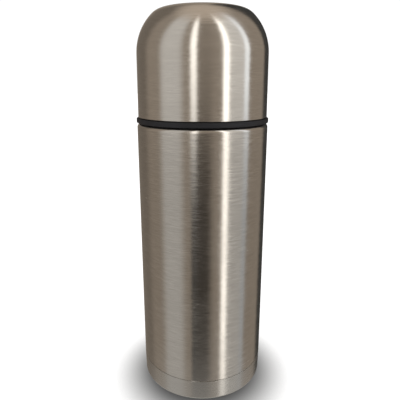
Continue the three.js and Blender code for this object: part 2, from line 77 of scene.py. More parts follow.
STEEL = 0.6  # wall of every pressed steel shell
FIT = 0.3  # gap kept between pieces that touch
ON_WALL = 0.05  # a point this near to a wall's radius belongs to that wall
BODY_R, _, SHELL_TOP = high("outer_shell")
SHELL_FOOT = low("outer_shell")[2]
BASE_R = high("base_cap")[0]
LIP_TOP = high("inner_bottle")[2]
RING_R, _, RING_TONGUE_TOP = high("cup_rim_ring")
RING_FOOT = low("cup_rim_ring")[2]
SHOULDER = RING_FOOT - FIT
CUP_R = high("cup_shell")[0]
CUP_EDGE = low("cup_shell")[2]
RING_H = CUP_EDGE - FIT - RING_FOOT
CUP_SIDE_TOP_R = 33.2  # where the straight side of the cup ends
CUP_SIDE_TOP = 178.5
DOME_SIDE_ARC = 26.1  # radii of the arcs that round the dome off
DOME_CORNER_ARC = 9.33
DOME_SIDE_TURN = 45  # degrees that the lower arc turns through
DOME_CORNER_TURN = 83  # degrees above the horizontal where the crown starts
BAND_R = 28.9  # threaded steel band under the cup
NECK_R = 24.6  # outside of the neck and of its rolled lip
MOUTH_R = 22.7
HEAD_FOOT = 164.9
HEAD_WALL = 1.8
FLOOR = 170.3  # top of the floor between the pouring chamber and the button
PLUG_R = 21.0
HEAD_R = high("stopper_cover")[0]
COVER_TOP = high("stopper_cover")[2]
BUTTON_R = high("push_button")[0]
BUTTON_TOP = high("push_button")[2]
BUTTON_FOOT = low("push_button")[2]
SEAT_FOOT = low("valve_seat")[2]
DISC_R, _, DISC_TOP = high("valve_disc")
DISC_FOOT = low("valve_disc")[2]
STEM_R = 2.5


# ---------------------------------------------------------------- outlines and turned meshes


def arc(centre_r, centre_z, radius, start, end, step=3.0):
    """Points on an arc in the (radius, height) plane, from one angle to another in degrees."""
    count = max(2, math.ceil(abs(end - start) / step))
    points = []
    for i in range(count + 1):
        angle = math.radians(start + (end - start) * i / count)
        points.append((centre_r + radius * math.cos(angle), centre_z + radius * math.sin(angle)))
    return points


def fillet(before, corner, after, radius):
    """The points that round one corner off."""
    point = Vector(corner)
    back = (Vector(before) - point).normalized()
    ahead = (Vector(after) - point).normalized()
    half = back.angle(ahead) / 2
    if radius <= 0 or half > math.radians(88):
        return [tuple(point)]
    centre = point + (back + ahead).normalized() * radius / math.sin(half)
    reach = radius / math.tan(half)
    first = point + back * reach - centre
    turn = math.pi - 2 * half
    sign = 1 if first.x * (ahead.y - back.y) - first.y * (ahead.x - back.x) > 0 else -1
    count = max(2, math.ceil(turn / ARC_STEP))
    points = []
    for i in range(count + 1):
        angle = sign * turn * i / count
        c, s = math.cos(angle), math.sin(angle)
        points.append((centre.x + first.x * c - first.y * s, centre.y + first.x * s + first.y * c))
    return points


def outline(corners, default=0.12):
    """A profile from (radius, height) or (radius, height, fillet) corners. It closes on itself unless it
    starts and ends on the axis. The material is on the left, going from corner to corner."""
    on_axis = corners[0][0] == 0 and corners[-1][0] == 0
    flat = [(c[0], c[1]) for c in corners]
    points = []
    for i, corner in enumerate(corners):
        if on_axis and i in (0, len(corners) - 1):
            points.append(flat[i])
            continue
        radius = corner[2] if len(corner) > 2 else default
        points += fillet(flat[i - 1], flat[i], flat[(i + 1) % len(flat)], radius)
    return points, not on_axis


def supported(points, closed):
    """Adds a point close to each end of a long straight run, so that shading stays flat along it."""
    reach = 0.1
    result = []
    for i, here in enumerate(points):
        result.append(here)
        if i == len(points) - 1 and not closed:
            break
        there = points[(i + 1) % len(points)]
        run = math.dist(here, there)
        if run > 6 * reach:
            for share in (reach / run, 1 - reach / run):
                result.append(tuple(a + (b - a) * share for a, b in zip(here, there)))
    return result


def turned(name, profile, around=ROUND, shift=None):
    """A smooth solid of revolution. shift(r, z, angle) is how far out a point moves, as for a thread."""
    points, closed = profile
    points = supported(points, closed)
    bm = bmesh.new()
    rings = []
    for r, z in points:
        if r < 1e-6:
            rings.append([bm.verts.new((0, 0, z * MM))] * around)
            continue
        ring = []
        for i in range(around):
            angle = 2 * math.pi * i / around
            out = r + (shift(r, z, angle) if shift else 0)
            ring.append(bm.verts.new((out * MM * math.cos(angle), out * MM * math.sin(angle), z * MM)))
        rings.append(ring)
    pairs = list(zip(rings, rings[1:]))
    if closed:
        pairs.append((rings[-1], rings[0]))
    for this, following in pairs:
        for i in range(around):
            j = (i + 1) % around
            corners = [this[i], this[j], following[j], following[i]]
            unique = [v for k, v in enumerate(corners) if v not in corners[:k]]
            bm.faces.new(unique)
    return finished(name, bm)


def finished(name, bm):
    """An object from a bmesh, smooth, with its real edges kept sharp."""
    mesh = bpy.data.meshes.new(name)
    bm.to_mesh(mesh)
    bm.free()
    mesh.shade_smooth()
    mesh.set_sharp_from_angle(angle=FINE_ANGLE)
    made = bpy.data.objects.new(name, mesh)
    bpy.context.scene.collection.objects.link(made)
    return made


def thread(wall, start, outward):
    """A screw-thread ridge for turned(), on the wall of that radius, beginning at height start.
    outward is 1 or -1."""

    def shift(r, z, angle):
        height = 0.0
        if abs(r - wall) >= ON_WALL:
            return height
        for lap in range(math.ceil(THREAD_TURNS)):
            turn = angle / (2 * math.pi) + lap
            if turn > THREAD_TURNS:
                continue
            fade = min(1.0, turn / 0.06, (THREAD_TURNS - turn) / 0.06)
            away = abs(z - start - PITCH * turn) / THREAD_HALF
            if away < 1:
                height = max(height, fade * min(1.0, 1.5 * (1 - away ** 2)))
        return outward * THREAD_DEPTH * height

    return shift


def fine_run(r, bottom, top, step=0.16):
    """Corners close together up or down a wall, for a thread to move."""
    count = math.ceil(abs(top - bottom) / step)
    return [(r, bottom + (top - bottom) * i / count, 0) for i in range(count + 1)]


def swept(name, points, radius, sides=10):
    """A round wire along a list of points in mm, with closed ends."""
    bm = bmesh.new()
    path = [Vector(p) for p in points]
    rings = []
    side = None
    for i, here in enumerate(path):
        ahead = (path[min(i + 1, len(path) - 1)] - path[max(i - 1, 0)]).normalized()
        side = ahead.orthogonal() if side is None else side - ahead * side.dot(ahead)
        side.normalize()
        up = ahead.cross(side)
        ring = []
        for k in range(sides):
            angle = 2 * math.pi * k / sides
            out = side * math.cos(angle) + up * math.sin(angle)
            ring.append(bm.verts.new((here + out * radius) * MM))
        rings.append(ring)
    for this, following in zip(rings, rings[1:]):
        for k in range(sides):
            j = (k + 1) % sides
            bm.faces.new([this[k], this[j], following[j], following[k]])
    bm.faces.new(rings[0][::-1])
    bm.faces.new(rings[-1])
    return finished(name, bm)


def cut(piece, cutters):
    """Cuts each of the cutters out of the piece, then removes them."""
    for cutter in cutters:
        modifier = piece.modifiers.new("cut", "BOOLEAN")
        modifier.operation = "DIFFERENCE"
        modifier.solver = "EXACT"
        modifier.object = cutter
    baked = bpy.data.meshes.new_from_object(piece.evaluated_get(bpy.context.evaluated_depsgraph_get()))
    piece.modifiers.clear()
    piece.data = baked
    baked.name = piece.name
    baked.shade_smooth()
    baked.set_sharp_from_angle(angle=FINE_ANGLE)
    for cutter in cutters:
        bpy.data.objects.remove(cutter)
    return piece


def slab(name, lower, upper, bevel=0.3):
    """A block with rounded edges between two corners in mm."""
    bm = bmesh.new()
    bmesh.ops.create_cube(bm, size=1)
    for v in bm.verts:
        v.co = [(lo + (hi - lo) * (c + 0.5)) * MM for c, lo, hi in zip(v.co, lower, upper)]
    if bevel:
        bmesh.ops.bevel(bm, geom=bm.edges[:], offset=bevel * MM, segments=3, profile=0.5, affect="EDGES")
    return finished(name, bm)


# ---------------------------------------------------------------- materials


class Graph:
    """A short way to write down a node tree."""

    def __init__(self, tree):
        self.tree = tree
        tree.nodes.clear()

    def add(self, kind, inputs=None, **settings):
        node = self.tree.nodes.new(kind)
        for key, value in settings.items():
            setattr(node, key, value)
        for key, value in (inputs or {}).items():
            if isinstance(value, bpy.types.NodeSocket):
                self.tree.links.new(value, node.inputs[key])
            else:
                node.inputs[key].default_value = value
        return node

    def math(self, operation, *values):
        node = self.add("ShaderNodeMath", dict(enumerate(values)), operation=operation)
        return node.outputs[0]

    def distance(self, x, y):
        """How far (x, y) is from the axis."""
        squares = self.math("ADD", self.math("MULTIPLY", x, x), self.math("MULTIPLY", y, y))
        return self.math("SQRT", squares)

    def vector(self, operation, first, second=None, scale=None):
        inputs = {0: first}
        if second is not None:
            inputs[1] = second
        if scale is not None:
            inputs["Scale"] = scale
        return self.add("ShaderNodeVectorMath", inputs, operation=operation).outputs[0]

    def noise(self, vector, scale, detail=2.0, roughness=0.5):
        inputs = {"Vector": vector, "Scale": scale, "Detail": detail, "Roughness": roughness}
        return self.add("ShaderNodeTexNoise", inputs).outputs["Fac"]

    def ranged(self, value, low_in, high_in, low_out, high_out):
        inputs = {0: value, 1: low_in, 2: high_in, 3: low_out, 4: high_out}
        return self.add("ShaderNodeMapRange", inputs).outputs[0]

    def smooth(self, value, low_in, high_in):
        """0 at low_in to 1 at high_in, easing in and out. low_in may be the larger."""
        inputs = {0: value, 1: low_in, 2: high_in, 3: 0.0, 4: 1.0}
        return self.add("ShaderNodeMapRange", inputs, interpolation_type="SMOOTHSTEP").outputs[0]

    def blend(self, share, first, second):
        node = self.add("ShaderNodeMix", {0: share, 6: first, 7: second}, data_type="RGBA")
        return node.outputs[2]


def shader(name, **constants):
    """A material with a Principled shader. Returns the material, its graph, and the shader node."""
    material = bpy.data.materials.new(name)
    material.use_nodes = True
    graph = Graph(material.node_tree)
    principled = graph.add("ShaderNodeBsdfPrincipled", constants)
    graph.add("ShaderNodeOutputMaterial", {"Surface": principled.outputs[0]})
    return material, graph, principled


def shade(colour, factor):
    return tuple(c * factor for c in colour[:3]) + (1.0,)


def round_strokes(graph):
    """Coordinates that run fast along the outline and slowly round the axis, so that noise in them makes
    the long fine strokes of turning on a brushing wheel."""
    place = graph.add("ShaderNodeTexCoord").outputs["Object"]
    x, y, z = graph.add("ShaderNodeSeparateXYZ", {0: place}).outputs
    along = graph.math("SUBTRACT", z, graph.distance(x, y))

    def space(slow, fast):
        speeds = enumerate(((x, slow), (y, slow), (along, fast)))
        inputs = {i: graph.math("MULTIPLY", value, speed) for i, (value, speed) in speeds}
        return graph.add("ShaderNodeCombineXYZ", inputs).outputs[0]

    return place, space


def brushed_steel(name, colour, roughness, grain=1.0):
    """Stainless steel brushed round its axis. Each stroke tilts the surface a little along itself, which
    frays the edges of what is mirrored, and more across itself, which smears it up and down."""
    material, graph, steel = shader(
        name, Metallic=1.0, Anisotropic=0.5, **{"Anisotropic Rotation": 0.25, "Specular Tint": (1, 1, 1, 1)}
    )
    place, space = round_strokes(graph)
    fine = graph.noise(space(150, 4200), 1.0, 2.0, 0.6)
    strokes = graph.noise(space(180, 2100), 1.0, 2.0, 0.6)
    frayed = graph.noise(space(220, 2600), 1.0, 1.0, 0.5)
    broad = graph.noise(space(25, 260), 1.0, 2.0)
    smudge = graph.noise(place, 38.0, 3.0, 0.55)
    both = graph.math("ADD", graph.math("MULTIPLY", fine, 0.5), graph.math("MULTIPLY", strokes, 0.5))
    rough = graph.ranged(both, 0.3, 0.7, roughness - 0.06, roughness + 0.07)
    rough = graph.math("ADD", rough, graph.ranged(smudge, 0.42, 0.7, -0.01, 0.035))
    dark, bright = shade(colour, 1 - 0.13 * grain), shade(colour, 1 + 0.1 * grain)
    tone = graph.blend(graph.ranged(both, 0.32, 0.68, 0, 1), dark, bright)
    tone = graph.blend(graph.ranged(broad, 0.35, 0.65, 0, 0.35), tone, shade(colour, 0.9))
    tangent = graph.add("ShaderNodeTangent", direction_type="RADIAL", axis="Z").outputs[0]
    surface = graph.add("ShaderNodeNewGeometry").outputs["Normal"]
    fray, smear = 0.024 * grain, 0.036 * grain
    along = graph.vector("SCALE", tangent, scale=graph.ranged(frayed, 0, 1, -fray, fray))
    across = graph.add("ShaderNodeCombineXYZ", {2: graph.ranged(both, 0, 1, -smear, smear)}).outputs[0]
    tilted = graph.vector("ADD", graph.vector("ADD", surface, along), across)
    tilted = graph.vector("NORMALIZE", tilted)
    graph.tree.links.new(tone, steel.inputs["Base Color"])
    graph.tree.links.new(rough, steel.inputs["Roughness"])
    graph.tree.links.new(tilted, steel.inputs["Normal"])
    graph.tree.links.new(tangent, steel.inputs["Tangent"])
    return material


def satin_metal(name, colour, roughness, metallic=1.0, scale=900.0):
    """Plain metal, such as pressed, drawn or electropolished parts."""
    material, graph, metal = shader(name, Metallic=metallic)
    place = graph.add("ShaderNodeTexCoord").outputs["Object"]
    grain = graph.noise(place, scale, 4.0, 0.6)
    cloud = graph.noise(place, 60.0, 2.0)
    tone = graph.blend(graph.ranged(cloud, 0.35, 0.65, 0, 1), shade(colour, 0.88), shade(colour, 1.08))
    rough = graph.ranged(grain, 0.3, 0.7, roughness * 0.8, roughness * 1.25)
    bump = graph.add("ShaderNodeBump", {"Strength": 0.15, "Distance": 0.0001, "Height": grain})
    graph.tree.links.new(tone, metal.inputs["Base Color"])
    graph.tree.links.new(rough, metal.inputs["Roughness"])
    graph.tree.links.new(bump.outputs[0], metal.inputs["Normal"])
    return material


def moulded(name, colour, roughness, texture=0.2, coat=0.0, ior=1.48):
    """Moulded plastic with a fine eroded texture, dulled and lightened a little where hands rub it."""
    material, graph, plastic = shader(name, Metallic=0.0, IOR=ior, **{"Coat Weight": coat})
    place = graph.add("ShaderNodeTexCoord").outputs["Object"]
    erosion = graph.noise(place, 2600.0, 2.0, 0.7)
    patches = graph.noise(place, 90.0, 3.0, 0.6)
    tone = graph.blend(graph.ranged(patches, 0.35, 0.7, 0, 1), shade(colour, 0.9), shade(colour, 1.25))
    rough = graph.ranged(patches, 0.35, 0.7, roughness + 0.05, roughness - 0.07)
    bump = graph.add("ShaderNodeBump", {"Strength": texture, "Distance": 0.00008, "Height": erosion})
    graph.tree.links.new(tone, plastic.inputs["Base Color"])
    graph.tree.links.new(rough, plastic.inputs["Roughness"])
    graph.tree.links.new(bump.outputs[0], plastic.inputs["Normal"])
    return material


def silicone(name, colour):
    """Milky silicone rubber, with dust and a soft bloom."""
    material, graph, rubber = shader(
        name, Metallic=0.0, IOR=1.42, **{"Subsurface Weight": 0.25, "Subsurface Scale": 0.002}
    )
    place = graph.add("ShaderNodeTexCoord").outputs["Object"]
    bloom = graph.noise(place, 140.0, 4.0, 0.6)
    tone = graph.blend(graph.ranged(bloom, 0.35, 0.7, 0, 1), shade(colour, 0.92), shade(colour, 1.06))
    rough = graph.ranged(bloom, 0.35, 0.7, 0.42, 0.6)
    bump = graph.add("ShaderNodeBump", {"Strength": 0.1, "Distance": 0.0001, "Height": bloom})
    graph.tree.links.new(tone, rubber.inputs["Base Color"])
    graph.tree.links.new(rough, rubber.inputs["Roughness"])
    graph.tree.links.new(bump.outputs[0], rubber.inputs["Normal"])
    return material


def creased_foil(name, colour):
    """Thin copper foil, wrinkled where it was wrapped."""
    material, graph, foil = shader(name, Metallic=1.0)
    place = graph.add("ShaderNodeTexCoord").outputs["Object"]
    cells = graph.add("ShaderNodeTexVoronoi", {"Vector": place, "Scale": 120.0}, feature="DISTANCE_TO_EDGE")
    crease = graph.ranged(cells.outputs[0], 0.0, 0.12, 0.0, 1.0)
    cloud = graph.noise(place, 50.0, 3.0)
    tone = graph.blend(graph.ranged(cloud, 0.35, 0.65, 0, 1), shade(colour, 0.8), shade(colour, 1.12))
    rough = graph.ranged(cloud, 0.35, 0.65, 0.18, 0.34)
    bump = graph.add("ShaderNodeBump", {"Strength": 0.3, "Distance": 0.0004, "Height": crease})
    graph.tree.links.new(tone, foil.inputs["Base Color"])
    graph.tree.links.new(rough, foil.inputs["Roughness"])
    graph.tree.links.new(bump.outputs[0], foil.inputs["Normal"])
    return material


RECORD_COLOURS = {m["slot"]: tuple(m["base_color"][:3]) for m in frame["record"]["materials"]}


def slot_colour(slot):
    return RECORD_COLOURS[slot]


MATERIALS = {
    "brushed_steel": brushed_steel("brushed_steel", slot_colour("brushed_steel"), 0.19),
    "base_steel": brushed_steel("base_steel", slot_colour("base_steel"), 0.24, 0.35),
    "cup_steel": brushed_steel("cup_steel", slot_colour("cup_steel"), 0.17, 0.7),
    "inner_steel": satin_metal("inner_steel", slot_colour("inner_steel"), 0.22),
    "spring_steel": satin_metal("spring_steel", slot_colour("spring_steel"), 0.18, scale=2400.0),
    "copper": creased_foil("copper", slot_colour("copper")),
    "solder_glass": moulded("solder_glass", slot_colour("solder_glass"), 0.12, 0.05, 0.5),
    "getter_metal": satin_metal("getter_metal", slot_colour("getter_metal"), 0.6, 0.7, 1800.0),
    "black_ring": moulded("black_ring", slot_colour("black_ring"), 0.5, 0.15, ior=1.34),
    "black_plastic": moulded("black_plastic", slot_colour("black_plastic"), 0.48, 0.3),
    "grey_plastic": moulded("grey_plastic", slot_colour("grey_plastic"), 0.46, 0.3),
    "button_plastic": moulded("button_plastic", slot_colour("button_plastic"), 0.42, 0.2),
    "liner_plastic": moulded("liner_plastic", slot_colour("liner_plastic"), 0.26, 0.1),
    "silicone": silicone("silicone", slot_colour("silicone")),
}
SLOTS = {s["node"]: s["material_slot"] for s in frame["record"]["subparts"]}
BODIES = {node: body for body, nodes in frame["record"]["behaviour"]["bodies"].items() for node in nodes}


def stand_for(piece, node):
    """Puts a fine piece in the place of a CAD node, with that node's body and material slot."""
    slot = SLOTS[node]
    piece.data.materials.clear()
    piece.data.materials.append(MATERIALS[slot])
    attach(piece, BODIES[node])
    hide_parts(node)
    return piece


# ---------------------------------------------------------------- flask body


def outer_shell():
    inside = BODY_R - STEEL
    band_top = 156.5
    corners = [
        (BODY_R, SHELL_FOOT, 0.1),
        (BODY_R, SHOULDER, 2.0),
        (BAND_R + 0.2, SHOULDER, 0.4),
        *fine_run(BAND_R, SHOULDER + 0.8, band_top - 0.8),
        (BAND_R, band_top, 0.8),
        (NECK_R, band_top + 3.7, 0.6),
        (NECK_R, SHELL_TOP),
        (NECK_R - STEEL, SHELL_TOP),
        (NECK_R - STEEL, band_top + 3.4, 0.4),
        (BAND_R - STEEL, band_top - 0.3, 0.4),
        (BAND_R - STEEL, SHOULDER - STEEL, 0.3),
        (inside, SHOULDER - STEEL, 0.5),
        (inside, SHELL_FOOT),
    ]
    return turned("fine_outer_shell", outline(corners), shift=thread(BAND_R, 147.6, 1))


def inner_bottle():
    out = BODY_R - 4
    wall = BODY_R - 4 - STEEL
    seat = 21.5  # narrower stretch where the stopper's seal sits
    corners = [
        (0, 15.6),
        (20, 14.8, 4),
        (out, 15.9, 3.6),
        (out, 131.9, 6),
        (seat + STEEL, 146.4, 2.5),
        (seat + STEEL, 149.8, 0.5),
        (MOUTH_R + STEEL, 151, 0.5),
        (MOUTH_R + STEEL, LIP_TOP - 1, 0.3),
        (NECK_R, LIP_TOP - 1, 0.25),
        (NECK_R, LIP_TOP, 0.55),
        (MOUTH_R, LIP_TOP, 0.5),
        *fine_run(MOUTH_R, LIP_TOP - 1.2, 152.4),
        (MOUTH_R, 151.2, 0.4),
        (seat, 150, 0.4),
        (seat, 146, 2.5),
        (wall, 131.8, 6),
        (wall, 16.6, 3),
        (20, 15.4, 4),
        (0, 16.2),
    ]
    return turned("fine_inner_bottle", outline(corners), shift=thread(MOUTH_R, 154, -1))


def base_cap():
    top = high("base_cap")[2]
    recess = 2.4  # how far the middle of the base stands off the ground
    taper = 0.3
    seam = SHELL_FOOT - FIT
    step = 0.35  # the step that draws the seam line
    step_top = seam + 0.16
    sleeve = BASE_R - STEEL - FIT
    return turned("fine_base_cap", outline([
        (0, recess),
        (26.5, recess, 0.8),
        (28, 0, 0.6),
        (BASE_R - taper, 0, 1.0),
        (BASE_R, seam, 0.1),
        (BASE_R - step, seam, 0.05),
        (BASE_R - step, step_top, 0.05),
        (sleeve, step_top, 0.05),
        (sleeve, top),
        (sleeve - STEEL, top),
        (sleeve - STEEL, seam - 2, 0.3),
        (BASE_R - STEEL, seam - 2.8, 0.3),
        (BASE_R - STEEL, STEEL, 1.0),
        (28.3, STEEL, 0.3),
        (26.9, recess + STEEL, 0.5),
        (0, recess + STEEL),
    ]))


def vacuum_base():
    return turned("fine_vacuum_base", outline([
        (1.2, 6.2), (4.5, 6.2, 0.4), (5.5, 8, 0.5), (32.1, 8, 0.9), (32.1, 17), (31.5, 17),
        (31.5, 8.6, 0.5), (5.2, 8.6, 0.4), (4.2, 6.8, 0.3), (1.2, 6.8),
    ]), ROUND_MID)


def seal_plug():
    return turned("fine_seal_plug", outline([
        (0, 4.4), (2.2, 4.5, 0.8), (3.4, 5.9, 0.3), (0.8, 5.9, 0.1), (0.8, 7.2, 0.3), (0, 7.2),
    ]), ROUND_SMALL)


def getter():
    lo, hi = low("getter"), high("getter")
    radius = (hi[0] - lo[0]) / 2
    made = turned("fine_getter", outline([
        (0, lo[2]), (radius, lo[2], 0.3), (radius, hi[2], 0.3), (radius - 0.8, hi[2], 0.2),
        (radius - 1, hi[2] - 0.3, 0.2), (0, hi[2] - 0.3),
    ]), ROUND_SMALL)
    made.data.transform(Matrix.Translation(((hi[0] + lo[0]) / 2 * MM, 0, 0)))
    return made


def getter_clip():
    """A strip bent up on both sides of the getter."""
    lo, hi = low("getter_clip"), high("getter_clip")
    sheet = 0.5
    profile, _ = outline([
        (lo[0], lo[2], 0.8), (hi[0], lo[2], 0.8), (hi[0], hi[2], 0.1),
        (hi[0] - sheet, hi[2], 0.1), (hi[0] - sheet, lo[2] + sheet, 0.3),
        (lo[0] + sheet, lo[2] + sheet, 0.3), (lo[0] + sheet, hi[2], 0.1), (lo[0], hi[2], 0.1),
    ])
    bm = bmesh.new()
    front = [bm.verts.new((x * MM, lo[1] * MM, z * MM)) for x, z in profile]
    back = [bm.verts.new((x * MM, hi[1] * MM, z * MM)) for x, z in profile]
    bm.faces.new(front)
    bm.faces.new(back[::-1])
    for i in range(len(front)):
        j = (i + 1) % len(front)
        bm.faces.new([front[j], front[i], back[i], back[j]])
    bmesh.ops.recalc_face_normals(bm, faces=bm.faces)
    return finished("fine_getter_clip", bm)


def copper_foil():
    """Foil wrapped round the inner bottle, with the faint ripples of a loose wrap."""
    lo, hi = low("copper_foil"), high("copper_foil")
    rows = 40
    out = hi[0]
    up = [(out, lo[2] + (hi[2] - lo[2]) * i / rows, 0) for i in range(rows + 1)]
    down = [(out - 0.2, z, 0) for _, z, _ in reversed(up)]

    def ripple(_, z, angle):
        return -0.05 * (1 + math.sin(angle * 23 + math.sin(z / 9)) * math.sin(z / 6.5 + angle))

    return turned("fine_copper_foil", outline(up + down), ROUND_MID, ripple)


# ---------------------------------------------------------------- cup


def dome(inset):
    """Half outline of the dome, set in from its outer surface, from the straight side up to the axis."""
    centre_r = CUP_SIDE_TOP_R - DOME_SIDE_ARC
    turn = math.radians(DOME_SIDE_TURN)
    crown = math.radians(DOME_CORNER_TURN)
    reach = DOME_SIDE_ARC - DOME_CORNER_ARC
    corner_r = centre_r + reach * math.cos(turn)
    corner_z = CUP_SIDE_TOP + reach * math.sin(turn)
    to_axis = corner_r / math.cos(crown)
    crown_z = corner_z - to_axis * math.sin(crown)
    side = arc(centre_r, CUP_SIDE_TOP, DOME_SIDE_ARC - inset, 0, DOME_SIDE_TURN, 2.5)
    corner = arc(corner_r, corner_z, DOME_CORNER_ARC - inset, DOME_SIDE_TURN, DOME_CORNER_TURN, 2.5)
    top = arc(0, crown_z, to_axis + DOME_CORNER_ARC - inset, DOME_CORNER_TURN, 90, 0.7)
    top[-1] = (0, top[-1][1])
    return side + corner[1:] + top[1:]


def cup_shell():
    inner = dome(STEEL)[::-1]
    rim = [(CUP_R - STEEL, CUP_EDGE, 0.15), (CUP_R, CUP_EDGE, 0.25)]
    edge = outline([inner[-1], *rim, dome(0)[0]], 0)[0]
    return turned("fine_cup_shell", (inner[:-1] + edge + dome(0)[1:], False))


def cup_rim_ring():
    tongue = CUP_R - STEEL - FIT
    top = RING_FOOT + RING_H
    return turned("fine_cup_rim_ring", outline([
        (tongue - 0.6, RING_FOOT, 0.25),
        (RING_R, RING_FOOT, 0.55),
        (RING_R, top, 0.45),
        (tongue, top, 0.1),
        (tongue, RING_TONGUE_TOP),
        (tongue - 0.6, RING_TONGUE_TOP),
    ]))


def cup_liner():
    outset = STEEL + FIT
    wall = 1.4
    mouth = 30.8
    mouth_out = CUP_R - STEEL - FIT - 0.9
    foot = low("cup_liner")[2]
    inner = dome(outset + wall)[::-1]
    lower = outline([
        inner[-1], (mouth + 0.4, 153.4, 0.6), *fine_run(mouth, 152.8, 147.0),
        (mouth, foot, 0.35), (mouth_out, foot, 0.35), (mouth_out, 152, 0.3),
        (CUP_R - outset, 152.8, 0.3), dome(outset)[0],
    ], 0)[0]
    profile = (inner[:-1] + lower + dome(outset)[1:], False)
    return turned("fine_cup_liner", profile, shift=thread(mouth, 148.6, -1))


# ---------------------------------------------------------------- stopper


def stopper_body():
    sleeve = 5.0
    bore = STEM_R + 0.5
    wall = HEAD_R - HEAD_WALL
    head_top = high("stopper_body")[2]
    foot = 149.7
    socket = 18.4  # where the valve seat is pressed in
    socket_top = 153.9
    chamber = 17
    profile = outline([
        (socket, foot), (PLUG_R, foot, 0.5), *fine_run(PLUG_R, 151.0, 162.0), (PLUG_R, HEAD_FOOT, 0.3),
        (HEAD_R, HEAD_FOOT, 0.7), (HEAD_R, 167.6, 0), (HEAD_R, 168.4, 0), (HEAD_R, 179.2, 0),
        (HEAD_R, head_top, 0.3), (wall, head_top), (wall, FLOOR, 0.4), (sleeve, FLOOR, 0.2),
        (sleeve, FLOOR + 1, 0.2), (bore, FLOOR + 1), (bore, 160.5), (sleeve, 160.5, 0.2),
        (sleeve, FLOOR - 2, 0.4), (chamber, FLOOR - 2, 0.6), (chamber, socket_top), (socket, socket_top),
    ])
    ridge = thread(PLUG_R, 153, 1)
    flutes = 20
    flute_depth = 0.55

    def shift(r, z, angle):
        if abs(r - HEAD_R) < ON_WALL and 168 < z < 179.5:
            return -flute_depth * max(0.0, math.cos(flutes * (angle - math.pi / flutes))) ** 1.5
        return ridge(r, z, angle)

    made = turned("fine_stopper_body", profile, 320, shift)
    cutters = []
    for middle in (-22, 22):
        cutters.append(slab("pour_cut", (-8, middle - 6, 154.8), (8, middle + 6, FLOOR - 3), 0))
    cutters.append(slab("key_cut", (HEAD_R - 4, -5.4, 172.6), (HEAD_R + 2, 5.4, 177.8), 0))
    return cut(made, cutters)


def stopper_cover():
    foot = low("stopper_cover")[2]
    plate = high("stopper_body")[2] + FIT
    guide = BUTTON_R + 0.4
    plug = HEAD_R - HEAD_WALL - FIT
    plug_foot = 177.9
    groove = COVER_TOP - 0.35
    return turned("fine_stopper_cover", outline([
        (guide, foot), (guide + 1.2, foot), (guide + 1.2, plate, 0.2), (plug - 1.2, plate, 0.2),
        (plug - 1.2, plug_foot), (plug, plug_foot), (plug, plate, 0.1), (HEAD_R, plate, 0.25),
        (HEAD_R, COVER_TOP, 1.3), (19.5, COVER_TOP, 1.0), (18.9, groove, 0.5), (14.6, groove, 0.5),
        (14.0, COVER_TOP, 0.5), (guide, COVER_TOP, 0.4),
    ]), ROUND_MID)


def valve_seat():
    top = high("valve_seat")[2]
    plate = SEAT_FOOT + 1.7
    return turned("fine_valve_seat", outline([
        (8.5, SEAT_FOOT, 0.3), (20.8, SEAT_FOOT, 0.6), (20.8, plate, 0.3), (18.1, plate, 0.2),
        (18.1, top), (16.9, top), (16.9, plate, 0.4), (8.5, plate, 0.3),
    ]), ROUND_MID)


def stopper_seal():
    foot, top = low("stopper_seal")[2], high("stopper_seal")[2]
    out = high("stopper_seal")[0]
    middle = (foot + top) / 2
    return turned("fine_stopper_seal", outline([
        (18.4, foot, 0.2), (out - 0.6, foot, 0.3), (out, foot + 0.8, 0.25), (out - 0.6, middle, 0.25),
        (out, top - 0.8, 0.25), (out - 0.6, top, 0.3), (18.4, top, 0.2),
    ]), ROUND_MID)


def stem_seal():
    foot, top = low("stem_seal")[2], high("stem_seal")[2]
    return turned("fine_stem_seal", outline([
        (STEM_R + FIT, foot, 0.3), (4.8, foot, 0.4), (4.8, top, 0.4), (STEM_R + FIT, top, 0.3),
    ]), ROUND_SMALL)


def push_button():
    socket = STEM_R + FIT
    boss = 4.8
    boss_foot = 176
    plate = BUTTON_TOP - 2.4
    skirt = BUTTON_R - 1
    return turned("fine_push_button", outline([
        (0, 180.8), (socket, 180.8, 0.1), (socket, boss_foot), (boss, boss_foot, 0.2), (boss, plate, 0.4),
        (skirt, plate, 0.4), (skirt, BUTTON_FOOT, 0.2), (BUTTON_R, BUTTON_FOOT, 0.2),
        (BUTTON_R, BUTTON_TOP, 0.9), (8.6, BUTTON_TOP, 1.5), (6.5, BUTTON_TOP - 0.6, 4),
        (0, BUTTON_TOP - 0.7),
    ]), ROUND_MID)


def valve_stem():
    foot, top = low("valve_stem")[2], high("valve_stem")[2]
    collar, collar_top = 4, SEAT_FOOT + 1.6
    return turned("fine_valve_stem", outline([
        (0, foot), (STEM_R, foot, 0.4), (STEM_R, SEAT_FOOT, 0.1), (collar, SEAT_FOOT, 0.2),
        (collar, collar_top, 0.2), (STEM_R, collar_top, 0.2), (STEM_R, top, 0.4), (0, top),
    ]), ROUND_SMALL)


def valve_disc():
    bore = STEM_R + FIT
    return turned("fine_valve_disc", outline([
        (bore, DISC_FOOT), (DISC_R - 2, DISC_FOOT, 0.8), (DISC_R, DISC_FOOT + 1.4, 0.5),
        (DISC_R, DISC_TOP, 0.3), (bore, DISC_TOP),
    ]), ROUND_MID)


def valve_seal():
    foot, top = low("valve_seal")[2], high("valve_seal")[2]
    out = high("valve_seal")[0]
    return turned("fine_valve_seal", outline([
        (STEM_R + FIT, foot), (out, foot, 0.25), (out, top, 0.55), (STEM_R + FIT, top),
    ]), ROUND_MID)


